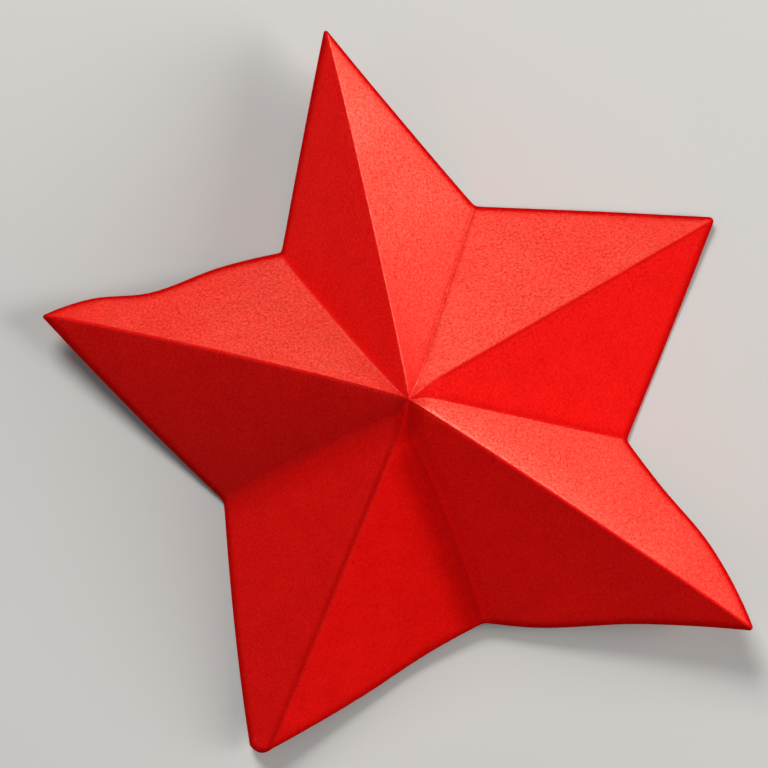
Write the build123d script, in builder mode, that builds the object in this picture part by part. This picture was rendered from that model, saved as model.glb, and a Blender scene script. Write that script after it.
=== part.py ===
# Folded paper star: one sheet, cut to five points and creased along ten folds that meet at its apex.
# Millimetres, +Z up. The origin lies under the apex, on the plane that the notches rest on.
from build123d import *
import os

# Sheet
paper_thickness = 0.25

# Star: apex height over the rest plane, and plan reach of tips and notches from the apex's axis
apex_height = 21.6
tip_reach = 50.0
notch_reach = 28.0

# Hand folding has left some corners clear of the rest plane
tip_lift = 6.6
notch_lift = 1.6

# Creases and facets: size of each on the fold section, which lies below the rest plane
section_drop = 2.0
crease_setback = 0.4
facet_bow = 0.9

# Cut edge: spread of the bluntest tip and bow of its end, rounding of the notches, bow of the most wavy edge
tip_spread = 2.4
tip_bow = 0.9
notch_round = 1.0
edge_bow = 1.1

# Arms run clockwise from the one on +Y, and each notch follows its arm
tip_angles = (90.0, 20.0, -46.0, -125.8, 152.5)
notch_angles = (60.8, -20.3, -84.5, -168.3, 116.5)
tip_reach_shares = (1.0, 0.915, 1.01, 0.93, 0.985)
notch_reach_shares = (1.0, 0.98, 1.01, 0.965, 0.97)
tip_lift_shares = (1.0, 0.1, 1.0, 0.45, 0.57)
notch_lift_shares = (0.0, 0.0, 1.0, 0.0, 0.0)

# A crease is pressed to a narrow flat, which is wide in the two valleys that were left soft
ridge_crease_shares = (1.0, 1.0, 1.0, 1.0, 1.0)
valley_crease_shares = (1.0, 1.0, 5.0, 3.0, 1.0)

# Two facets to an arm, the one before its ridge and the one after it, bowed outwards where positive
facet_bow_shares = ((0.0, 0.5), (0.0, 0.0), (0.6, -0.5), (-2.4, 0.0), (0.5, 0.8))

# Blunt end of each tip: how far its corners stand across from the ridge and beyond its end, and its bow
tip_across_shares = ((0.1, 0.1), (0.2, 0.15), (0.15, 0.15), (0.05, 1.19), (0.08, 0.08))
tip_beyond_shares = ((0.0, 0.0), (0.0, 0.0), (0.0, 0.0), (-0.05, 0.33), (0.0, 0.0))
tip_bow_shares = (0.1, 0.2, 0.25, 1.0, 0.1)

# Two edges to an arm in the same order: points along each, and their bows outwards
edge_along_shares = (((0.5,), (0.5,)), ((0.5,), (0.5,)), ((0.25, 0.6), (0.4, 0.85)), ((0.25, 0.6), (0.7,)),
                     ((0.5,), (0.2, 0.43, 0.75)))
edge_bow_shares = (((0.05,), (-0.1,)), ((0.1,), (0.1,)), ((0.35, 1.3), (-0.35, 0.4)), ((-0.25, 0.15), (0.3,)),
                   ((0.25,), (0.45, -0.8, 0.15)))


def corner(reach, angle, height):
    """Point at a plan reach and angle from the apex's axis, at a height over the rest plane."""
    return Vector(reach, 0, height).rotate(Axis.Z, angle)


def in_plan(point):
    """A point of the sheet, seen from above."""
    return Vector(point.X, point.Y)


def corners(reach, reach_shares, angles, lift, lift_shares):
    """Corners of the sheet's underside, one to an arm."""
    rows = zip(reach_shares, angles, lift_shares)
    return [corner(reach * far, angle, lift * high) for far, angle, high in rows]


tips = corners(tip_reach, tip_reach_shares, tip_angles, tip_lift, tip_lift_shares)
notches = corners(notch_reach, notch_reach_shares, notch_angles, notch_lift, notch_lift_shares)
arms = range(len(tips))

# The sheet's upward thickness, such that an average facet is as thick as the paper
apex = Vector(0, 0, apex_height)
facets = [(tips[i] - apex, notches[j] - apex) for i in arms for j in (i - 1, i)]
facet_levels = [abs(ridge.cross(valley).normalized().Z) for ridge, valley in facets]
sheet_rise = paper_thickness * len(facet_levels) / sum(facet_levels)
fold_depth = apex_height + section_drop


def on_section(point):
    """Where the crease from the apex through a corner of the star meets the fold section."""
    return in_plan(apex + (point - apex) * (fold_depth / (apex.Z - point.Z)))


def facet_span(start, end, bow):
    """Span of the fold section between two creases: straight, or an arc that stands outwards by its bow."""
    if bow:
        SagittaArc(start, end, bow)
    else:
        Line(start, end)


def bowed_edge(start, end, along_shares, bow_shares):
    """Edge of the cut in plan, run clockwise, through points that stand outwards by their bows."""
    run = end - start
    outward = run.normalized().rotate(Axis.Z, 90) * edge_bow
    between = [start + run * along + outward * bow for along, bow in zip(along_shares, bow_shares)]
    Spline(start, *between, end)


def folded_cone(level, mode):
    """Solid under the folds: the creased section at a level, drawn up to the apex over it."""
    with BuildSketch(Plane.XY.offset(level)) as section:
        with BuildLine():
            for i in arms:
                before, after = facet_bow_shares[i]
                facet_span(on_section(notches[i - 1]), on_section(tips[i]), facet_bow * before)
                facet_span(on_section(tips[i]), on_section(notches[i]), facet_bow * after)
        make_face()
        for point, share in zip(tips + notches, ridge_crease_shares + valley_crease_shares):
            chamfer(section.vertices().sort_by_distance(on_section(point))[0], crease_setback * share)
    loft(sections=[section.sketch, Vertex(0, 0, level + fold_depth)], ruled=True, mode=mode)


with BuildPart() as star_sheet:
    # The folds: one cone of creases, hollowed by the same cone a sheet lower
    folded_cone(sheet_rise - section_drop, Mode.ADD)
    folded_cone(-section_drop, Mode.SUBTRACT)

    # The cut: the star's outline in plan, with a short blunt end at each tip
    with BuildSketch(Plane.XY.offset(-section_drop)) as outline:
        with BuildLine():
            for i in arms:
                outward = corner(tip_spread, tip_angles[i], 0)
                across = outward.rotate(Axis.Z, -90)
                (across_before, across_after) = tip_across_shares[i]
                (beyond_before, beyond_after) = tip_beyond_shares[i]
                tip_start = in_plan(tips[i]) - across * across_before + outward * beyond_before
                tip_end = in_plan(tips[i]) + across * across_after + outward * beyond_after
                (alongs_before, alongs_after) = edge_along_shares[i]
                (bows_before, bows_after) = edge_bow_shares[i]
                bowed_edge(in_plan(notches[i - 1]), tip_start, alongs_before, bows_before)
                SagittaArc(tip_start, tip_end, tip_bow * tip_bow_shares[i])
                bowed_edge(tip_end, in_plan(notches[i]), alongs_after, bows_after)
        make_face()
        fillet(outline.vertices().sort_by_distance((0, 0))[: len(notches)], notch_round)
    extrude(amount=fold_depth + sheet_rise, mode=Mode.INTERSECT)

star_sheet.part.label = "star_sheet"

os.makedirs("parts", exist_ok=True)
export_step(star_sheet.part, "parts/star_sheet.step")
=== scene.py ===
"""Folded paper star: one red sheet, cut to five points and creased along ten folds that meet at its apex."""
import logging
import math
from dataclasses import dataclass
from enum import Enum

import bpy
import numpy as np
from mathutils import Matrix, Vector


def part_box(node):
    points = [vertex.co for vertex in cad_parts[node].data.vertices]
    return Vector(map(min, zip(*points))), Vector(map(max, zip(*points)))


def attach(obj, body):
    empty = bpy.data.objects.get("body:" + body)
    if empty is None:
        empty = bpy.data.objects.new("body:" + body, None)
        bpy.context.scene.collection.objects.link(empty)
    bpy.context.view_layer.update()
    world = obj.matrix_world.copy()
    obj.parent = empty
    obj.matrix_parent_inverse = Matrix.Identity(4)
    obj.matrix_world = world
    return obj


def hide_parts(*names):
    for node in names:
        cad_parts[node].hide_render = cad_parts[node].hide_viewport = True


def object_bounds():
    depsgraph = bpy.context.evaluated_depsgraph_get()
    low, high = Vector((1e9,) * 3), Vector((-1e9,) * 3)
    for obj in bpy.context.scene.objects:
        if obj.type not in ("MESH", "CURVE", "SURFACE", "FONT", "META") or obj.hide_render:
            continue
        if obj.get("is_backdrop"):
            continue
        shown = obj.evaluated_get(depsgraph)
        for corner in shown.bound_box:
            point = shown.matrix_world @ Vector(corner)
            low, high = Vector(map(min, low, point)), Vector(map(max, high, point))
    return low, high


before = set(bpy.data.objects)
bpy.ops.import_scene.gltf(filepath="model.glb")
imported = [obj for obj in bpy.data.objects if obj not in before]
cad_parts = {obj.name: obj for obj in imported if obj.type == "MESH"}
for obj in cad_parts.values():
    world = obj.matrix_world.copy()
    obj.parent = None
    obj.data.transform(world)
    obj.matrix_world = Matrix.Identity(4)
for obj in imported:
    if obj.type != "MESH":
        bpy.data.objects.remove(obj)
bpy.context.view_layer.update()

MM = 0.001
LOG = logging.getLogger("paper_star")
Array = np.ndarray


class Fold(Enum):
    """Which way a crease is folded: the sign of the height that rounding its fold adds."""

    RIDGE = -1.0
    VALLEY = 1.0


class Side(Enum):
    """The two facets of an arm, in clockwise order seen from above."""

    BEFORE = 0
    AFTER = 1


@dataclass(frozen=True)
class Crease:
    """One crease, straight from the apex to its end but for what hand folding did to it.

    The softness is the height by which the two facets miss each other at the fold. The root is where the
    crease starts beside the apex, and the bow how far it bends sideways, clockwise where positive. The
    last three give a darker line of painted shade along it: its strength, how far beside the fold it lies,
    and its width.
    """

    softness: float = 0.25 * MM
    root: tuple = (0.0, 0.0, 0.0)
    root_fade: float = 1.0
    bow: float = 0.0
    # Strength, offset and width of a darker line of painted shade along the crease.
    line_shade: float = 0.0
    line_shade_aside: float = 0.0
    line_shade_width: float = 0.3 * MM


@dataclass(frozen=True)
class Arm:
    """One point of the star, and the notch that follows it clockwise.

    Angles are in degrees from +X. Reaches and lifts are shares of the sheet's own. Pairs belong to the
    facets before and after the ridge: how far the corners of the blunt tip stand across from the ridge and
    beyond its end, and bows outwards where positive. Each facet lists them as (across, bow) shares from its
    ridge to its valley, and each cut edge as (along, bow) shares in clockwise order.
    """

    tip_angle: float
    tip_reach_share: float
    tip_lift_share: float
    notch_angle: float
    notch_reach_share: float
    notch_lift_share: float
    across_shares: tuple
    beyond_shares: tuple
    tip_bow_share: float
    facet_shares: tuple
    edge_shares: tuple
    ridge: Crease = Crease()
    # Valleys get a line of painted shade unless they say otherwise.
    valley: Crease = Crease(line_shade=0.5)
    tip_curl_share: float = 0.0


RIGHT_ROOT = (1.0 * MM, 0.92 * MM, -1.45 * MM)
RIGHT_VALLEY_ROOT = (0.82 * MM, 0.51 * MM, -1.1 * MM)
LOWER_ROOT = (-1.4 * MM, -2.8 * MM, -2.45 * MM)
LOWER_VALLEY_ROOT = (-0.6 * MM, -1.4 * MM, -1.2 * MM)

# Each crease's line of painted shade is listed with it below.
ARMS = (
    Arm(90.0, 1.0, 1.0, 60.8, 1.0, 0.0, (0.1, 0.1), (0.0, 0.0), 0.1,
        facet_shares=(((0.5, 0.4),), ((0.5, 0.1),)),
        edge_shares=(((0.5, 0.05),), ((0.5, -0.1),)),
        ridge=Crease(bow=0.4 * MM), valley=Crease(0.08 * MM, RIGHT_ROOT, line_shade=0.4, line_shade_width=0.4 * MM)),
    Arm(20.0, 0.915, 0.1, -20.3, 0.98, 0.0, (0.2, 0.15), (0.0, 0.0), 0.2,
        facet_shares=(((0.5, -0.1),), ((0.5, -0.4),)),
        edge_shares=(((0.5, 0.1),), ((0.5, 0.1),)),
        ridge=Crease(root=RIGHT_ROOT, line_shade=0.45, line_shade_aside=0.15 * MM, line_shade_width=0.2 * MM),
        valley=Crease(0.3 * MM, RIGHT_VALLEY_ROOT, line_shade=0.35, line_shade_aside=-0.3 * MM, line_shade_width=0.5 * MM)),
    Arm(-46.0, 1.01, 1.0, -84.5, 1.01, 1.0, (0.15, 0.15), (0.0, 0.0), 0.25,
        facet_shares=(((0.5, 0.6),), ((0.5, -0.5),)),
        edge_shares=(((0.25, 0.35), (0.6, 1.3)), ((0.4, -0.35), (0.85, 0.4))),
        ridge=Crease(0.5 * MM, bow=-0.3 * MM),
        valley=Crease(0.8 * MM, LOWER_ROOT, 3.0, line_shade=0.75, line_shade_aside=1.2 * MM, line_shade_width=1.9 * MM)),
    Arm(-125.8, 0.93, 0.45, -168.3, 0.965, 0.0, (0.05, 1.19), (-0.05, 0.33), 1.0,
        facet_shares=(((0.3, -1.45), (0.6, -2.4), (0.85, -1.5)), ((0.35, 0.45), (0.75, -0.1))),
        edge_shares=(((0.25, -0.25), (0.6, 0.15)), ((0.7, 0.3),)),
        ridge=Crease(0.2 * MM, LOWER_ROOT, line_shade=0.5, line_shade_aside=0.35 * MM, line_shade_width=0.35 * MM),
        valley=Crease(0.8 * MM, LOWER_VALLEY_ROOT, 2.0, line_shade=0.3, line_shade_aside=-1.0 * MM, line_shade_width=1.6 * MM),
        tip_curl_share=1.0),
    Arm(152.5, 0.985, 0.57, 116.5, 0.97, 0.0, (0.08, 0.08), (0.0, 0.0), 0.1,
        facet_shares=(((0.5, 0.5),), ((0.3, 0.45), (0.65, 0.8), (0.85, 0.5))),
        edge_shares=(((0.5, 0.25),), ((0.2, 0.45), (0.43, -0.8), (0.75, 0.15))),
        ridge=Crease(0.5 * MM, bow=0.6 * MM), valley=Crease(0.7 * MM, bow=-0.35 * MM)),
)


def on_circle(reach: Array, degrees: Array) -> Array:
    """Plan points at a reach and an angle from the apex's axis.

    Args:
        reach: Distances from the axis.
        degrees: Angles from +X, anticlockwise.

    Returns:
        One (x, y) row for each point: reach times (cosine, sine) of the angle.
    """
    turns = np.radians(degrees)
    return np.stack([reach * np.cos(turns), reach * np.sin(turns)], axis=-1)


def cross(a: Array, b: Array) -> Array:
    """Plan cross product a.x * b.y - a.y * b.x, over whole arrays."""
    return a[..., 0] * b[..., 1] - a[..., 1] * b[..., 0]


def eased(count: int) -> Array:
    """Shares from 0 up to but not with 1, packed at both ends: half of 1 minus the cosine of a half turn."""
    return 0.5 - 0.5 * np.cos(np.pi * np.arange(count) / count)


def through_points(along: Array, listed: Array) -> Array:
    """Smooth curve through listed (along, height) points and through zero at both ends.

    Between two neighbouring points it is the cubic that has their heights and slopes, where a point's
    slope is that of the parabola through it and its neighbours.

    Args:
        along: Places from 0 to 1.
        listed: The points as rows.

    Returns:
        The height at each place.
    """
    knots = np.concatenate([[0.0], listed[:, 0], [1.0]])
    heights = np.concatenate([[0.0], listed[:, 1], [0.0]])
    slopes = np.gradient(heights, knots, edge_order=2)
    at = np.clip(np.searchsorted(knots, along, side="right") - 1, 0, len(knots) - 2)
    width = knots[at + 1] - knots[at]
    t = (along - knots[at]) / width
    blend = t * t * (3.0 - 2.0 * t)
    lean = t * (1.0 - t) * width * (slopes[at] * (1.0 - t) - slopes[at + 1] * t)
    return heights[at] * (1.0 - blend) + heights[at + 1] * blend + lean


@dataclass
class StarSheet:
    """The folded sheet as one closed surface over a grid of columns round the star and rows across it.

    A column is a straight ray from the apex to a point of the cut edge. Rows run down the upper side
    from the apex, over the rim, and back up the underside to the apex.
    """

    tip_reach: float
    apex_top: float
    notch_reach_share: float = 0.56
    paper_thickness: float = 0.25 * MM
    tip_lift: float = 6.6 * MM
    notch_lift: float = 1.6 * MM
    section_drop: float = 2.0 * MM
    facet_bow: float = 0.9 * MM
    tip_spread: float = 2.4 * MM
    edge_bow: float = 1.1 * MM
    notch_fill: float = 0.3 * MM
    softest_share: float = 0.35
    edge_droop: float = 0.12 * MM
    droop_span: float = 0.5 * MM
    root_share: float = 0.04
    bow_flatness: float = 0.45
    tip_bow: float = 0.75 * MM
    tip_curl: float = 0.3 * MM
    curl_span: float = 0.9 * MM
    rim_swell: float = 0.03 * MM
    ripple_height: float = 0.05 * MM
    ripple_length: float = 11.0 * MM
    ripple_ways: tuple = ((0.8, 0.6, 0.0), (-0.5, 0.7, 1.3))
    # Width of the paler rub with painted highlight on the ridges.
    rub_and_highlight_width: float = 0.25 * MM
    edge_mask_width: float = 0.6 * MM
    # Where the lines of painted shade set in, and a patch of painted shade beside the apex.
    shade_start_share: float = 0.1
    apex_shade: float = 0.8
    apex_shade_at: tuple = (-0.3 * MM, -1.3 * MM)
    apex_shade_span: float = 1.8 * MM
    map_margin: float = 1.1
    blunt_columns: int = 7
    edge_columns: int = 37
    side_rows: int = 64
    rim_rows: int = 3

    def __post_init__(self) -> None:
        """Works out the corners, the facets' planes and the cut edge that everything else follows."""
        self.tips = self.corners([a.tip_angle for a in ARMS], self.tip_reach,
                                 [a.tip_reach_share for a in ARMS], self.tip_lift,
                                 [a.tip_lift_share for a in ARMS])
        self.notches = self.corners([a.notch_angle for a in ARMS], self.tip_reach * self.notch_reach_share,
                                    [a.notch_reach_share for a in ARMS], self.notch_lift,
                                    [a.notch_lift_share for a in ARMS])
        self.facets = [(i, side) for i in range(len(ARMS)) for side in Side]
        self.columns = self.blunt_columns + self.edge_columns
        self.facet_of_column = np.repeat(np.arange(len(self.facets)), self.columns)
        ridges = np.repeat(self.tips, 2, axis=0)
        valleys = np.stack([np.roll(self.notches, 1, axis=0), self.notches], axis=1).reshape(-1, 3)
        self.sheet_rise = 0.0
        self.apex = self.apex_top
        for _ in range(3):
            self.slopes = self.plane_slopes(ridges, valleys)
            level = 1.0 / np.sqrt(1.0 + (self.slopes ** 2).sum(axis=1))
            self.sheet_rise = self.paper_thickness / level.mean()
            self.apex = self.apex_top - self.sheet_rise
        self.ridges, self.valleys = ridges, valleys
        self.edge = np.concatenate([self.facet_edge(i, side) for i, side in self.facets])

    @staticmethod
    def corners(angles: list, reach: float, reach_shares: list, lift: float, lift_shares: list) -> Array:
        """Corners of the sheet's underside, one (x, y, z) row to an arm.

        Args:
            angles: Angles of the corners in degrees.
            reach: Full distance from the axis.
            reach_shares: Share of it at each corner.
            lift: Full height over the floor.
            lift_shares: Share of it at each corner.

        Returns:
            The corners as rows.
        """
        plan = on_circle(reach * np.array(reach_shares), np.array(angles))
        return np.column_stack([plan, lift * np.array(lift_shares)])

    def plane_slopes(self, ridges: Array, valleys: Array) -> Array:
        """Slope of each facet's plane, which holds the apex, its tip and its notch.

        Args:
            ridges: The tip of each facet.
            valleys: The notch of each facet.

        Returns:
            Rows (p, q) such that the plane's height is the apex's plus p times x and q times y.
        """
        runs = np.stack([ridges[:, :2], valleys[:, :2]], axis=1)
        falls = np.stack([ridges[:, 2], valleys[:, 2]], axis=1) - self.apex
        return np.linalg.solve(runs, falls[..., None])[..., 0]

    def facet_edge(self, i: int, side: Side) -> Array:
        """Cut edge of one facet in plan, in clockwise order.

        From the ridge the edge first follows the blunt tip, a parabola over the line between its two
        corners. Then it follows the straight line to the notch, moved outwards by the smooth curve through
        its listed bows.

        Args:
            i: Number of the arm.
            side: Which facet of the arm.

        Returns:
            One plan point for each column, with the facet's last crease left to the next facet.
        """
        arm, from_ridge = ARMS[i], side is Side.AFTER
        ahead = on_circle(np.array(self.tip_spread), np.array(arm.tip_angle))
        across = np.array([ahead[1], -ahead[0]])
        first = self.tips[i, :2] - across * arm.across_shares[0] + ahead * arm.beyond_shares[0]
        last = self.tips[i, :2] + across * arm.across_shares[1] + ahead * arm.beyond_shares[1]
        ridge_share = arm.across_shares[0] / sum(arm.across_shares)
        blunt = np.arange(self.blunt_columns) / self.blunt_columns
        blunt = ridge_share + (1.0 - ridge_share) * blunt if from_ridge else ridge_share * blunt
        tip = self.bowed(first, last, blunt, self.tip_bow * arm.tip_bow_share * 4.0 * blunt * (1.0 - blunt))

        notch = self.notches[i if from_ridge else i - 1, :2]
        start, end = (last, notch) if from_ridge else (notch, first)
        cut = eased(self.edge_columns)
        waves = through_points(cut, np.array(arm.edge_shares[side.value]))
        edge = self.bowed(start, end, cut, self.edge_bow * waves)
        points = np.concatenate([tip, edge] if from_ridge else [edge, tip])
        return points + self.notch_filling(points, notch)

    @staticmethod
    def bowed(start: Array, end: Array, along: Array, bow: Array) -> Array:
        """Points at shares along a line of the outline, moved outwards from it by their bows.

        Args:
            start: Start of the line in plan.
            end: End of the line in plan.
            along: Share of the line at each point.
            bow: Distance outwards at each point.

        Returns:
            The plan points as rows.
        """
        run = end - start
        outward = np.array([-run[1], run[0]]) / np.linalg.norm(run)
        return start + run * along[:, None] + outward * bow[:, None]

    def notch_filling(self, points: Array, notch: Array) -> Array:
        """Outward shift that rounds a notch: half of (root of d squared plus w squared, less d).

        Args:
            points: Plan points of the cut edge.
            notch: The notch in plan.

        Returns:
            One plan shift for each point, where d is its distance from the notch and w the filling.
        """
        gap = np.linalg.norm(points - notch, axis=1)
        fill = 0.5 * (np.sqrt(gap ** 2 + self.notch_fill ** 2) - gap)
        return points / np.linalg.norm(points, axis=1)[:, None] * fill[:, None]

    def crease_table(self) -> list:
        """Lists every crease.

        Returns:
            Rows of plan direction, slope jump across the fold, way of the fold, and the crease itself.
        """
        rows = []
        for i, arm in enumerate(ARMS):
            before, after = self.slopes[2 * i], self.slopes[2 * i + 1]
            following = self.slopes[(2 * i + 2) % len(self.slopes)]
            tip, notch = self.tips[i, :2], self.notches[i, :2]
            at_ridge, at_valley = np.linalg.norm(before - after), np.linalg.norm(after - following)
            rows.append((tip / np.linalg.norm(tip), at_ridge, Fold.RIDGE, arm.ridge))
            rows.append((notch / np.linalg.norm(notch), at_valley, Fold.VALLEY, arm.valley))
        return rows

    @staticmethod
    def gap_to_ray(plan: Array, ray: Array) -> Array:
        """Plan distance to a ray from the axis: across it in front of the axis, to the axis behind it."""
        ahead = plan @ ray
        return np.where(ahead > 0.0, np.abs(cross(plan, ray)), np.linalg.norm(plan, axis=-1))

    def crease_rounding(self, plan: Array) -> Array:
        """Height that rounding adds to the sharp folds.

        The two planes at a crease miss each other by d at a point. Where d is less than the crease's
        softness w, the height is (w - d) squared over 4 w, taken off at ridges and put on in valleys. The
        softness is held under a share of the distance from the apex, which stays a point.

        Args:
            plan: Plan points.

        Returns:
            The heights to add.
        """
        reach = np.linalg.norm(plan, axis=-1)
        total = np.zeros(plan.shape[:-1])
        for ray, jump, fold, crease in self.crease_table():
            miss = jump * self.gap_to_ray(plan, ray)
            most = self.softest_share * jump * reach
            soft = crease.softness * most / (crease.softness + most)
            total += fold.value * np.maximum(soft - miss, 0.0) ** 2 / (4.0 * soft)
        return total

    def rub_and_highlight_mask(self, plan: Array) -> Array:
        """Nearness to the ridges, for rub and a painted highlight: the greatest of exp(-(distance / width)
        squared).

        Args:
            plan: Plan points before hand folding.

        Returns:
            The nearness at each point.
        """
        masks = [np.exp(-((self.gap_to_ray(plan, ray) / self.rub_and_highlight_width) ** 2))
                 for ray, _, fold, _ in self.crease_table() if fold is Fold.RIDGE]
        return np.max(masks, axis=0)

    def shade_mask(self, plan: Array) -> Array:
        """Strength of the painted shade: darker lines in the creases and a patch beside the apex.

        Each line is its strength times exp(-(distance / width) squared), about a line beside the crease,
        and sets in over the first few millimetres from the apex. A patch of painted shade of the same form
        lies beside the apex, about a point. The strongest counts.

        Args:
            plan: Plan points before hand folding.

        Returns:
            The strength at each point.
        """
        aside = np.linalg.norm(plan - np.array(self.apex_shade_at), axis=-1)
        total = self.apex_shade * np.exp(-((aside / self.apex_shade_span) ** 2))
        for ray, _, _, crease in self.crease_table():
            ahead = np.clip(plan @ ray / (self.shade_start_share * self.tip_reach), 0.0, 1.0)
            gap = cross(plan, ray) - crease.line_shade_aside * ahead
            total = np.maximum(total, crease.line_shade * ahead * np.exp(-((gap / crease.line_shade_width) ** 2)))
        return total

    def facet_share(self) -> Array:
        """Share of the way from ridge to valley at which each column crosses a level section.

        Returns:
            One share for each column, from the cross products of its ray with the section's two corners.
        """
        depth = self.apex + self.section_drop
        ridge = self.ridges[:, :2] * (depth / (self.apex - self.ridges[:, 2]))[:, None]
        valley = self.valleys[:, :2] * (depth / (self.apex - self.valleys[:, 2]))[:, None]
        past_ridge = cross(self.edge, ridge[self.facet_of_column])
        past_valley = cross(self.edge, valley[self.facet_of_column])
        return past_ridge / (past_ridge - past_valley)

    def crease_shift(self, end: Array, crease: Crease, shares: Array) -> Array:
        """How far a crease strays from its straight line.

        The root's shift sets in beside the apex as 1 - exp(-(share / root share) squared) and then fades
        to the end as a power of 1 - s. The bow is sideways and flat-topped, a low power of 4 s (1 - s).

        Args:
            end: The crease's outer end.
            crease: The crease.
            shares: Share of the crease at each row.

        Returns:
            One (x, y, z) shift for each row.
        """
        sideways = np.array([end[1], -end[0], 0.0]) / np.linalg.norm(end[:2])
        rooted = (1.0 - shares) ** crease.root_fade * (1.0 - np.exp(-((shares / self.root_share) ** 2)))
        bowed = crease.bow * (4.0 * shares * (1.0 - shares)) ** self.bow_flatness
        return rooted[:, None] * np.array(crease.root) + bowed[:, None] * sideways

    def shift(self, shares: Array) -> Array:
        """Shift of every point: that of its facet's two creases, blended evenly from ridge to valley.

        Args:
            shares: Share of the ray at each row.

        Returns:
            Shifts as (rows, columns, 3).
        """
        ridges = [self.crease_shift(self.tips[i], ARMS[i].ridge, shares) for i, _ in self.facets]
        notches = [i if side is Side.AFTER else i - 1 for i, side in self.facets]
        valleys = [self.crease_shift(self.notches[i], ARMS[i].valley, shares) for i in notches]
        across = self.facet_share()[None, :, None]
        of_ridge = np.stack(ridges, axis=1)[:, self.facet_of_column]
        of_valley = np.stack(valleys, axis=1)[:, self.facet_of_column]
        return of_ridge * (1.0 - across) + of_valley * across

    def curled_tips(self, plan: Array) -> Array:
        """Height that curled tips add: a round swell, exp(-(distance / span) squared), about a blunt end.

        Args:
            plan: Plan points.

        Returns:
            The heights to add.
        """
        total = np.zeros(plan.shape[:-1])
        for i, arm in enumerate(ARMS):
            ahead = on_circle(np.array(self.tip_spread), np.array(arm.tip_angle))
            across = np.array([ahead[1], -ahead[0]]) * (arm.across_shares[1] - arm.across_shares[0]) / 2.0
            middle = self.tips[i, :2] + across + ahead * sum(arm.beyond_shares) / 2.0
            gap = np.linalg.norm(plan - middle, axis=-1)
            total += self.tip_curl * arm.tip_curl_share * np.exp(-((gap / self.curl_span) ** 2))
        return total

    def underside(self, plan: Array) -> Array:
        """Height of the sheet's underside.

        A point of a column lies on its facet's plane. The facet's bow is added as the smooth curve between
        its two creases, growing with the fall from the apex, then the rounding of the creases, a shallow
        ripple, a droop at the cut edge that dies away exponentially, and the curled tips.

        Args:
            plan: Plan points as (rows, columns, 2).

        Returns:
            Heights as (rows, columns).
        """
        slopes = self.slopes[self.facet_of_column]
        fall = -(plan * slopes).sum(axis=-1)
        depth = self.apex + self.section_drop
        share = self.facet_share()
        shares = np.split(share, len(self.facets))
        listed = [np.array(ARMS[i].facet_shares[side.value]) for i, side in self.facets]
        bows = np.concatenate([through_points(across, bow) for across, bow in zip(shares, listed)])
        steepness = np.linalg.norm(slopes, axis=1)
        bulge = self.facet_bow * bows * steepness * fall / depth
        x, y = plan[..., 0], plan[..., 1]
        wave = 2.0 * math.pi / self.ripple_length
        ripple = sum(np.sin(wave * (a * x + b * y) + start) for a, b, start in self.ripple_ways)
        calm = np.clip(np.linalg.norm(plan, axis=-1) / self.tip_reach, 0.0, 1.0)
        droop = self.edge_droop * np.exp(-self.edge_gap(plan) / self.droop_span)
        folded = self.apex - fall + bulge + self.crease_rounding(plan)
        return folded + self.ripple_height * ripple * calm - droop + self.curled_tips(plan)

    def edge_gap(self, plan: Array) -> Array:
        """Plan distance from the cut edge: what is left of the ray times the sine of its angle to the edge.

        Args:
            plan: Plan points as (rows, columns, 2).

        Returns:
            Distances as (rows, columns).
        """
        tangent = np.roll(self.edge, -1, axis=0) - np.roll(self.edge, 1, axis=0)
        length = np.linalg.norm(self.edge, axis=1)
        slant = np.abs(cross(self.edge, tangent)) / (length * np.linalg.norm(tangent, axis=1))
        return (length - np.linalg.norm(plan, axis=-1)) * slant

    def flat_sheet(self, shares: Array) -> Array:
        """Where each point lies when the star is opened out flat round its apex.

        The angles between neighbouring rays are added up and scaled to one full turn, and each ray
        keeps its slant length.

        Args:
            shares: Share of the ray at each row.

        Returns:
            Flat positions as (rows, columns, 2).
        """
        rise = (self.edge * self.slopes[self.facet_of_column]).sum(axis=1)
        rays = np.column_stack([self.edge, rise])
        length = np.linalg.norm(rays, axis=1)
        unit = rays / length[:, None]
        steps = np.arccos(np.clip((unit * np.roll(unit, -1, axis=0)).sum(axis=1), -1.0, 1.0))
        turn = np.concatenate([[0.0], np.cumsum(steps)[:-1]]) * (2.0 * math.pi / steps.sum())
        flat = length[:, None] * np.column_stack([np.sin(turn), np.cos(turn)])
        return shares[:, None, None] * flat

    def surface(self) -> tuple:
        """The closed surface's grid, without its two apex points.

        Returns:
            Points as (rows, columns, 3), their plan before hand folding, flat positions and edge mask.
        """
        shares = 0.5 - 0.5 * np.cos(np.pi * np.arange(1, self.side_rows + 1) / self.side_rows)
        plan = shares[:, None, None] * self.edge
        under = np.concatenate([plan, self.underside(plan)[..., None]], axis=-1) + self.shift(shares)
        over = under + np.array([0.0, 0.0, self.sheet_rise])
        turn = np.pi * np.arange(1, self.rim_rows + 1) / (self.rim_rows + 1)
        outward = self.edge / np.linalg.norm(self.edge, axis=1)[:, None]
        swell = self.rim_swell * np.sin(turn)[:, None, None] * outward
        level = under[-1, :, 2] + self.sheet_rise * (0.5 + 0.5 * np.cos(turn))[:, None]
        rim = np.concatenate([plan[-1] + swell, level[..., None]], axis=-1)
        flat = self.flat_sheet(shares)
        near = np.exp(-((self.edge_gap(plan) / self.edge_mask_width) ** 2))
        rim_flat = np.repeat(flat[-1:], self.rim_rows, axis=0)
        points = np.concatenate([over, rim, under[::-1]])
        flats = np.concatenate([flat, rim_flat, flat[::-1]])
        edges = np.concatenate([near, np.ones((self.rim_rows, near.shape[1])), near[::-1]])
        plans = np.concatenate([plan, np.repeat(plan[-1:], self.rim_rows, axis=0), plan[::-1]])
        return points, plans, flats, edges

    def map_span(self) -> float:
        """Width of the flat map, which has the sheet's two sides abreast: four reaches and a margin."""
        return 4.0 * self.map_margin * self.tip_reach

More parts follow.
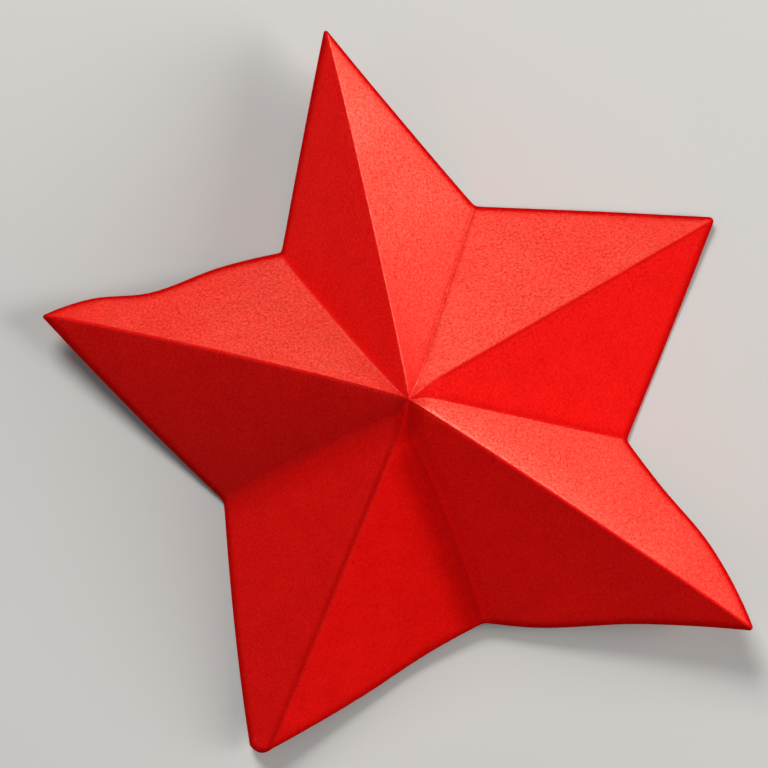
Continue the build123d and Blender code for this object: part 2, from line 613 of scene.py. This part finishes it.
    def faces(self, rows: int, columns: int) -> tuple:
        """Faces over the grid, closed round the star and at the two apex points.

        Args:
            rows: Rows of the grid.
            columns: Columns of the grid, which run clockwise.

        Returns:
            Quads and triangles as rows of vertex numbers, where the upper apex follows the grid's
            points and the lower one comes last.
        """
        grid = np.arange(rows * columns).reshape(rows, columns)
        beside = np.roll(grid, -1, axis=1)
        quads = np.stack([grid[:-1], grid[1:], beside[1:], beside[:-1]], axis=-1).reshape(-1, 4)
        top = np.full(columns, rows * columns)
        upper = np.stack([top, grid[0], beside[0]], axis=-1)
        lower = np.stack([top + 1, beside[-1], grid[-1]], axis=-1)
        return quads[:, ::-1], np.concatenate([upper, lower])[:, ::-1]

    def build(self) -> bpy.types.Object:
        """Puts the surface into a mesh, with its flat map and its masks as attributes.

        On the map the upper side lies on the left half and the underside on the right one.

        Returns:
            The new object, linked to the scene.
        """
        points, plans, flats, edges = self.surface()
        rows, columns = points.shape[:2]
        quads, triangles = self.faces(rows, columns)
        poles = np.array([[0.0, 0.0, self.apex_top], [0.0, 0.0, self.apex]])
        vertices = np.concatenate([points.reshape(-1, 3), poles])
        mesh = bpy.data.meshes.new("star_paper")
        mesh.from_pydata(vertices.tolist(), [], quads.tolist() + triangles.tolist())
        mesh.polygons.foreach_set("use_smooth", np.ones(len(mesh.polygons), bool))

        loops = np.concatenate([quads.reshape(-1), triangles.reshape(-1)])
        flat = np.concatenate([flats.reshape(-1, 2), np.zeros((2, 2))])
        lower_row = np.arange(rows) >= self.side_rows + self.rim_rows
        below = np.concatenate([np.repeat(lower_row, columns), [False, True]])
        uv = flat / self.map_span() + np.array([0.25, 0.5])
        layer = mesh.uv_layers.new(name="flat_sheet")
        layer.data.foreach_set("uv", (uv + below[:, None] * np.array([0.5, 0.0]))[loops].reshape(-1))

        plan = np.concatenate([plans.reshape(-1, 2), poles[:, :2]])
        # Masks for the rub with painted highlight on the ridges, the painted shade in creases and beside the
        # apex, and the cut edge.
        masks = {
            "cut_edge": np.concatenate([edges.reshape(-1), [0.0, 0.0]]),
            "ridge": self.rub_and_highlight_mask(plan),
            "painted_shade": self.shade_mask(plan),
        }
        for name, values in masks.items():
            layer = mesh.attributes.new(name, "FLOAT", "POINT")
            layer.data.foreach_set("value", values.astype(np.float32))
        mesh.update()
        piece = bpy.data.objects.new("star_paper", mesh)
        bpy.context.scene.collection.objects.link(piece)
        return piece

    def dress(self, piece: bpy.types.Object, material: bpy.types.Material) -> None:
        """Gives the piece its finish and its place on the part.

        Args:
            piece: The sheet's object.
            material: Its finish.
        """
        piece.data.materials.append(material)
        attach(piece, "root")
        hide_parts("star_sheet")


class Nodes:
    """Short ways to add and join the nodes of one tree."""

    def __init__(self, tree: bpy.types.NodeTree) -> None:
        """Starts with a tree and clears it."""
        self.tree = tree
        tree.nodes.clear()

    def add(self, kind: str, **values: object) -> bpy.types.Node:
        """Adds a node and sets its properties.

        Args:
            kind: The node's type name, from which ShaderNode may be left out.
            values: Properties of the node.

        Returns:
            The node.
        """
        name = kind if kind.startswith("Node") else "ShaderNode" + kind
        node = self.tree.nodes.new(name)
        for key, value in values.items():
            setattr(node, key, value)
        return node

    def feed(self, node: bpy.types.Node, **inputs: object) -> bpy.types.Node:
        """Sets or links a node's inputs by name, with underscores for spaces.

        Args:
            node: The node.
            inputs: A socket to link from, or a value.

        Returns:
            The same node.
        """
        for key, value in inputs.items():
            self.put(node.inputs[key.replace("_", " ")], value)
        return node

    def put(self, socket: bpy.types.NodeSocket, value: object) -> None:
        """Links a socket to another one, or sets its value."""
        if isinstance(value, bpy.types.NodeSocket):
            self.tree.links.new(value, socket)
        else:
            socket.default_value = value

    def math(self, operation: str, *values: object, clamp: bool = False) -> bpy.types.NodeSocket:
        """Adds a Math node.

        Args:
            operation: What it does.
            values: Sockets to link from, or numbers.
            clamp: Whether the result is held between 0 and 1.

        Returns:
            The result's socket.
        """
        node = self.add("Math", operation=operation, use_clamp=clamp)
        for socket, value in zip(node.inputs, values):
            self.put(socket, value)
        return node.outputs[0]

    def mix(self, factor: object, a: object, b: object) -> bpy.types.NodeSocket:
        """Adds a colour mix.

        Args:
            factor: Share of the second colour.
            a: First colour.
            b: Second colour.

        Returns:
            The result's socket.
        """
        node = self.add("Mix", data_type="RGBA", clamp_factor=True)
        for at, value in ((0, factor), (6, a), (7, b)):
            self.put(node.inputs[at], value)
        return node.outputs[2]

    def noise(self, vector: object, scale: float, detail: float, roughness: float) -> bpy.types.NodeSocket:
        """Adds a noise texture.

        Args:
            vector: Where the noise is read.
            scale: Its fineness.
            detail: Number of finer layers.
            roughness: Strength of the finer layers.

        Returns:
            The socket of its value, which is about one half on average.
        """
        node = self.add("TexNoise")
        self.feed(node, Vector=vector, Scale=scale, Detail=detail, Roughness=roughness)
        return node.outputs[0]

    def scaled(self, vector: object, scale: float) -> bpy.types.NodeSocket:
        """Multiplies a vector by a number.

        Args:
            vector: The vector.
            scale: The number.

        Returns:
            The result's socket.
        """
        node = self.add("VectorMath", operation="SCALE")
        self.feed(node, Vector=vector, Scale=scale)
        return node.outputs[0]

    def spread(self, value: object, low: float, high: float) -> bpy.types.NodeSocket:
        """Stretches a value so that low becomes 0 and high 1, clamped between them.

        Args:
            value: The value.
            low: Its low end.
            high: Its high end.

        Returns:
            The result's socket.
        """
        node = self.add("MapRange", clamp=True)
        self.feed(node, Value=value, From_Min=low, From_Max=high)
        return node.outputs[0]


def new_group(name: str, inputs: dict, outputs: tuple) -> tuple:
    """Makes an empty shader node group.

    Args:
        name: The group's name.
        inputs: Socket types by input name.
        outputs: Names of the outputs, which are all values.

    Returns:
        The group, its node helper, its input node and its output node.
    """
    group = bpy.data.node_groups.new(name, "ShaderNodeTree")
    for label, kind in inputs.items():
        group.interface.new_socket(label, in_out="INPUT", socket_type=kind)
    for label in outputs:
        group.interface.new_socket(label, in_out="OUTPUT", socket_type="NodeSocketFloat")
    nodes = Nodes(group)
    return group, nodes, nodes.add("NodeGroupInput"), nodes.add("NodeGroupOutput")


def fibre_group() -> bpy.types.NodeTree:
    """Paper fibres, from places in millimetres on the flat sheet and on the folded one.

    Cloudiness is slow noise over a few millimetres, and grain fine noise under one, which lies on the folded
    sheet. Strands are the thin ridges of a noise that is drawn out along the sheet's making direction, where
    it passes one half. Height is the grain's plus the strands'.

    Returns:
        The group, with inputs Flat and Folded, and outputs Cloud, Grain and Height.
    """
    strand_turn, strand_squeeze, strand_width = math.radians(28.0), 0.45, 0.035
    grain_height, strand_height = 0.8, 0.12
    vector = "NodeSocketVector"
    group, nodes, given, out = new_group(
        "paper_fibre", {"Flat": vector, "Folded": vector}, ("Cloud", "Grain", "Height"))
    place = given.outputs["Flat"]
    turned = nodes.add("Mapping")
    nodes.feed(turned, Vector=place, Rotation=(0.0, 0.0, strand_turn), Scale=(1.0, strand_squeeze, 1.0))
    cloud = nodes.noise(place, scale=0.3, detail=3.0, roughness=0.6)
    grain = nodes.noise(given.outputs["Folded"], scale=3.2, detail=2.5, roughness=0.6)
    strand = nodes.noise(turned.outputs[0], scale=1.1, detail=2.0, roughness=0.5)
    thin = nodes.math("ABSOLUTE", nodes.math("SUBTRACT", strand, 0.5))
    strand = nodes.math("SUBTRACT", 1.0, nodes.spread(thin, 0.0, strand_width))
    raised = nodes.math("MULTIPLY", strand, strand_height)
    nodes.feed(out, Cloud=nodes.spread(cloud, 0.3, 0.7), Grain=nodes.spread(grain, 0.32, 0.68))
    nodes.feed(out, Height=nodes.math("ADD", nodes.math("MULTIPLY", grain, grain_height), raised))
    return group


def wear_and_shade_group() -> bpy.types.NodeTree:
    """Rub with a painted highlight at ridges, and dark cut edges with painted shade in the creases, broken up
    by noise so that it comes and goes.

    The first output is a ridge's mask times noise, for paler rubbed paper and a painted highlight. The
    second is the greater of the painted shade's mask and a cut edge's, times a noise that never falls
    under a least share.

    Returns:
        The group, with inputs for place, ridge, painted shade and cut edge masks, and outputs for rub with
        painted highlight and for dark edges with painted shade.
    """
    least = 0.65
    inputs = {"Vector": "NodeSocketVector"} | dict.fromkeys(("Ridge", "PaintedShade", "Edge"), "NodeSocketFloat")
    group, nodes, given, out = new_group("fold_wear_and_shade", inputs, ("Rub", "Soil"))
    noise = nodes.noise(given.outputs["Vector"], scale=1.4, detail=3.0, roughness=0.6)
    broken = nodes.spread(noise, 0.35, 0.65)
    # Painted shade in the creases and beside the apex, or a darker cut edge, whichever is stronger.
    dark = nodes.math("MAXIMUM", given.outputs["PaintedShade"], given.outputs["Edge"])
    steady = nodes.math("MULTIPLY_ADD", broken, 1.0 - least, least)
    # Paler rub with a painted highlight along the ridges.
    nodes.feed(out, Rub=nodes.math("MULTIPLY", given.outputs["Ridge"], broken),
               Soil=nodes.math("MULTIPLY", dark, steady))
    return group


@dataclass(frozen=True)
class RedPaper:
    """Red craft paper: dyed through, faintly clouded, with a fine fibre grain and a thin, broken sheen.

    Its colour turns paler on the ridges, for rub and a painted highlight, and dark red in the creases, beside
    the apex and at the cut edges, for painted shade and darker edges. The sheen is a coat whose weight is
    its least share plus a gain with the grain, and the painted shade and dark edges dull it.
    """

    light: tuple = (0.84, 0.005, 0.003, 1.0)
    deep: tuple = (0.66, 0.002, 0.002, 1.0)
    # A paler red for rub and a painted highlight on the ridges.
    rubbed_and_highlit: tuple = (0.90, 0.06, 0.045, 1.0)
    # A dark red for painted shade in the creases and beside the apex, and for darker cut edges.
    edge_and_shade_dark: tuple = (0.30, 0.002, 0.002, 1.0)
    roughness: float = 0.34
    grain_roughness: float = 0.12
    sheen: float = 0.28
    sheen_least: float = 0.35
    sheen_gain: float = 1.3
    sheen_roughness: float = 0.4
    grain_share: float = 0.65
    # Share of the paler red: rub and painted highlight.
    rub_and_highlight_share: float = 0.12
    # Share of the dark red: painted shade and darker edges.
    edge_and_shade_share: float = 0.9
    dulling: float = 2.0
    bump: float = 0.35
    bump_height: float = 0.00002

    def material(self, sheet: StarSheet) -> bpy.types.Material:
        """Builds the material on the sheet's flat map.

        Args:
            sheet: The sheet, which gives the map's scale.

        Returns:
            The material.
        """
        made = bpy.data.materials.new("red_paper")
        made.use_nodes = True
        nodes = Nodes(made.node_tree)
        out = nodes.add("OutputMaterial")
        shader = nodes.add("BsdfPrincipled")
        flat = nodes.add("UVMap", uv_map="flat_sheet")
        spread = nodes.scaled(flat.outputs[0], sheet.map_span() / MM)
        folded = nodes.scaled(nodes.add("TexCoord").outputs["Object"], 1.0 / MM)
        fibre = nodes.add("Group", node_tree=fibre_group())
        nodes.feed(fibre, Flat=spread, Folded=folded)
        wear_and_shade = nodes.add("Group", node_tree=wear_and_shade_group())
        masks = {label: nodes.add("Attribute", attribute_name=name).outputs["Fac"]
                 for label, name in (("Ridge", "ridge"), ("PaintedShade", "painted_shade"), ("Edge", "cut_edge"))}
        nodes.feed(wear_and_shade, Vector=spread, **masks)

        grain = nodes.math("MULTIPLY", fibre.outputs["Grain"], self.grain_share)
        cloud = nodes.math("MULTIPLY", fibre.outputs["Cloud"], 1.0 - self.grain_share)
        colour = nodes.mix(nodes.math("ADD", grain, cloud), self.deep, self.light)
        # Paler red on the ridges: rub and a painted highlight.
        colour = nodes.mix(nodes.math("MULTIPLY", wear_and_shade.outputs["Rub"], self.rub_and_highlight_share), colour, self.rubbed_and_highlit)
        # Dark red of painted shade in the creases and beside the apex, and of darker cut edges.
        colour = nodes.mix(nodes.math("MULTIPLY", wear_and_shade.outputs["Soil"], self.edge_and_shade_share), colour, self.edge_and_shade_dark)
        rough = nodes.math("MULTIPLY_ADD", fibre.outputs["Grain"], self.grain_roughness, self.roughness)
        bump = nodes.add("Bump")
        nodes.feed(bump, Strength=self.bump, Distance=self.bump_height, Height=fibre.outputs["Height"])
        nodes.feed(shader, Base_Color=colour, Roughness=rough, Normal=bump.outputs[0])
        gain, least = self.sheen_gain * self.sheen, self.sheen_least * self.sheen
        gloss = nodes.math("MULTIPLY_ADD", fibre.outputs["Grain"], gain, least)
        # The painted shade and the dark edges dull the sheen.
        clean = nodes.math("MULTIPLY_ADD", wear_and_shade.outputs["Soil"], -self.dulling, 1.0, clamp=True)
        nodes.feed(shader, Coat_Weight=nodes.math("MULTIPLY", gloss, clean),
                   Coat_Roughness=self.sheen_roughness, Specular_IOR_Level=0.0)
        nodes.feed(out, Surface=shader.outputs[0])
        return made


@dataclass(frozen=True)
class Lamp:
    """A soft round lamp, placed by its direction from the star and aimed at it.

    A glossy lamp is only mirrored in the sheet's faint sheen, and the others only light it.
    """

    name: str
    azimuth: float
    elevation: float
    distance: float
    size: float
    watts: float
    colour: tuple
    glossy: bool = False

    def build(self) -> bpy.types.Object:
        """Adds the lamp to the scene.

        Returns:
            The lamp's object.
        """
        data = bpy.data.lights.new(self.name, "AREA")
        data.shape = "DISK"
        data.size = self.size
        data.energy = self.watts
        data.color = self.colour
        turn, rise = math.radians(self.azimuth), math.radians(self.elevation)
        away = Vector((math.cos(turn) * math.cos(rise), math.sin(turn) * math.cos(rise), math.sin(rise)))
        lamp = bpy.data.objects.new(self.name, data)
        lamp.location = away * self.distance
        lamp.rotation_mode = "QUATERNION"
        lamp.rotation_quaternion = away.to_track_quat("Z", "Y")
        lamp.visible_glossy = self.glossy
        lamp.visible_diffuse = not self.glossy
        bpy.context.scene.collection.objects.link(lamp)
        return lamp


@dataclass(frozen=True)
class Studio:
    """Pale floor, soft lamps and an even pale surround."""

    floor_level: float
    floor_half: float = 3.0
    floor_colour: tuple = (0.58, 0.58, 0.57, 1.0)
    floor_roughness: float = 0.9
    surround: tuple = (0.9, 0.95, 1.0, 1.0)
    surround_light: float = 0.02
    surround_seen: float = 0.85
    lamps: tuple = (
        Lamp("key_lamp", 94.0, 42.0, 0.8, 0.36, 5.3, (1.0, 0.98, 0.95)),
        Lamp("side_lamp", -19.0, 25.0, 0.8, 0.45, 5.95, (1.0, 0.97, 0.93)),
        Lamp("right_gloss", 38.0, 4.0, 0.8, 0.3, 23.5, (1.0, 0.9, 0.58), glossy=True),
        Lamp("top_gloss", 84.0, 12.0, 0.8, 0.3, 5.4, (1.0, 0.9, 0.58), glossy=True),
        Lamp("left_lamp", 186.0, 30.0, 0.8, 0.5, 0.7, (0.97, 0.98, 1.0)),
        Lamp("roof_lamp", 0.0, 89.0, 0.8, 0.9, 0.8, (0.95, 0.98, 1.0)),
    )

    def floor(self) -> bpy.types.Object:
        """Adds the floor as one large level quad, which counts as stage.

        Returns:
            The floor's object.
        """
        side = self.floor_half * np.array([[-1.0, -1.0], [1.0, -1.0], [1.0, 1.0], [-1.0, 1.0]])
        mesh = bpy.data.meshes.new("floor")
        mesh.from_pydata(np.column_stack([side, np.full(4, self.floor_level)]).tolist(), [], [(0, 1, 2, 3)])
        piece = bpy.data.objects.new("floor", mesh)
        bpy.context.scene.collection.objects.link(piece)
        made = bpy.data.materials.new("pale_floor")
        made.use_nodes = True
        nodes = Nodes(made.node_tree)
        shader = nodes.add("BsdfPrincipled")
        nodes.feed(shader, Base_Color=self.floor_colour, Roughness=self.floor_roughness)
        nodes.feed(shader, Specular_IOR_Level=0.0)
        nodes.feed(nodes.add("OutputMaterial"), Surface=shader.outputs[0])
        mesh.materials.append(made)
        piece.visible_glossy = False
        piece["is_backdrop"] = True
        return piece

    def world(self) -> None:
        """Lights the scene evenly from all round, and shows a pale background to the camera."""
        world = bpy.data.worlds.new("surround")
        world.use_nodes = True
        nodes = Nodes(world.node_tree)
        path = nodes.add("LightPath")
        strength = nodes.add("MapRange", clamp=True)
        nodes.feed(strength, Value=path.outputs["Is Camera Ray"])
        nodes.feed(strength, To_Min=self.surround_light, To_Max=self.surround_seen)
        back = nodes.add("Background")
        nodes.feed(back, Color=self.surround, Strength=strength.outputs[0])
        nodes.feed(nodes.add("OutputWorld"), Surface=back.outputs[0])
        bpy.context.scene.world = world

    def build(self) -> None:
        """Adds the floor, the surround and every lamp."""
        self.floor()
        self.world()
        for lamp in self.lamps:
            lamp.build()


@dataclass(frozen=True)
class PhotoCamera:
    """Camera at the photograph's viewing angle, almost straight above the star.

    The roll turns the picture about the line of sight, and the slides move the camera sideways in it.
    """

    azimuth: float = 13.20
    elevation: float = 84.25
    roll: float = -26.21
    distance: float = 360.0 * MM
    slide_right: float = -3.935 * MM
    slide_up: float = 3.818 * MM
    lens: float = 130.76
    sensor: float = 36.0

    def build(self) -> bpy.types.Object:
        """Adds the camera and makes it the scene's own.

        Returns:
            The camera's object.
        """
        turn, rise, roll = (math.radians(angle) for angle in (self.azimuth, self.elevation, self.roll))
        back = Vector((math.sin(turn) * math.cos(rise), -math.cos(turn) * math.cos(rise), math.sin(rise)))
        right = Vector((math.cos(turn), math.sin(turn), 0.0))
        up = back.cross(right)
        across = right * math.cos(roll) + up * math.sin(roll)
        upright = up * math.cos(roll) - right * math.sin(roll)
        data = bpy.data.cameras.new("photo_camera")
        data.lens = self.lens
        data.sensor_width = self.sensor
        data.clip_start = 0.01
        camera = bpy.data.objects.new("photo_camera", data)
        place = back * self.distance + across * self.slide_right + upright * self.slide_up
        turned = Matrix((across, upright, back)).transposed().to_4x4()
        camera.matrix_world = Matrix.Translation(place) @ turned
        bpy.context.scene.collection.objects.link(camera)
        bpy.context.scene.camera = camera
        return camera


def main() -> None:
    """Builds the star, its surroundings and the camera."""
    logging.basicConfig(level=logging.INFO, format="%(message)s")
    _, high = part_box("star_sheet")
    sheet = StarSheet(tip_reach=high.y - StarSheet.tip_bow * ARMS[0].tip_bow_share, apex_top=high.z)
    star = sheet.build()
    sheet.dress(star, RedPaper().material(sheet))
    LOG.info("%s: %d faces", star.name, len(star.data.polygons))
    seen_low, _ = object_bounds()
    Studio(floor_level=seen_low.z).build()
    PhotoCamera().build()
    bpy.context.scene.view_settings.view_transform = "Standard"


if __name__ == "__main__":
    main()
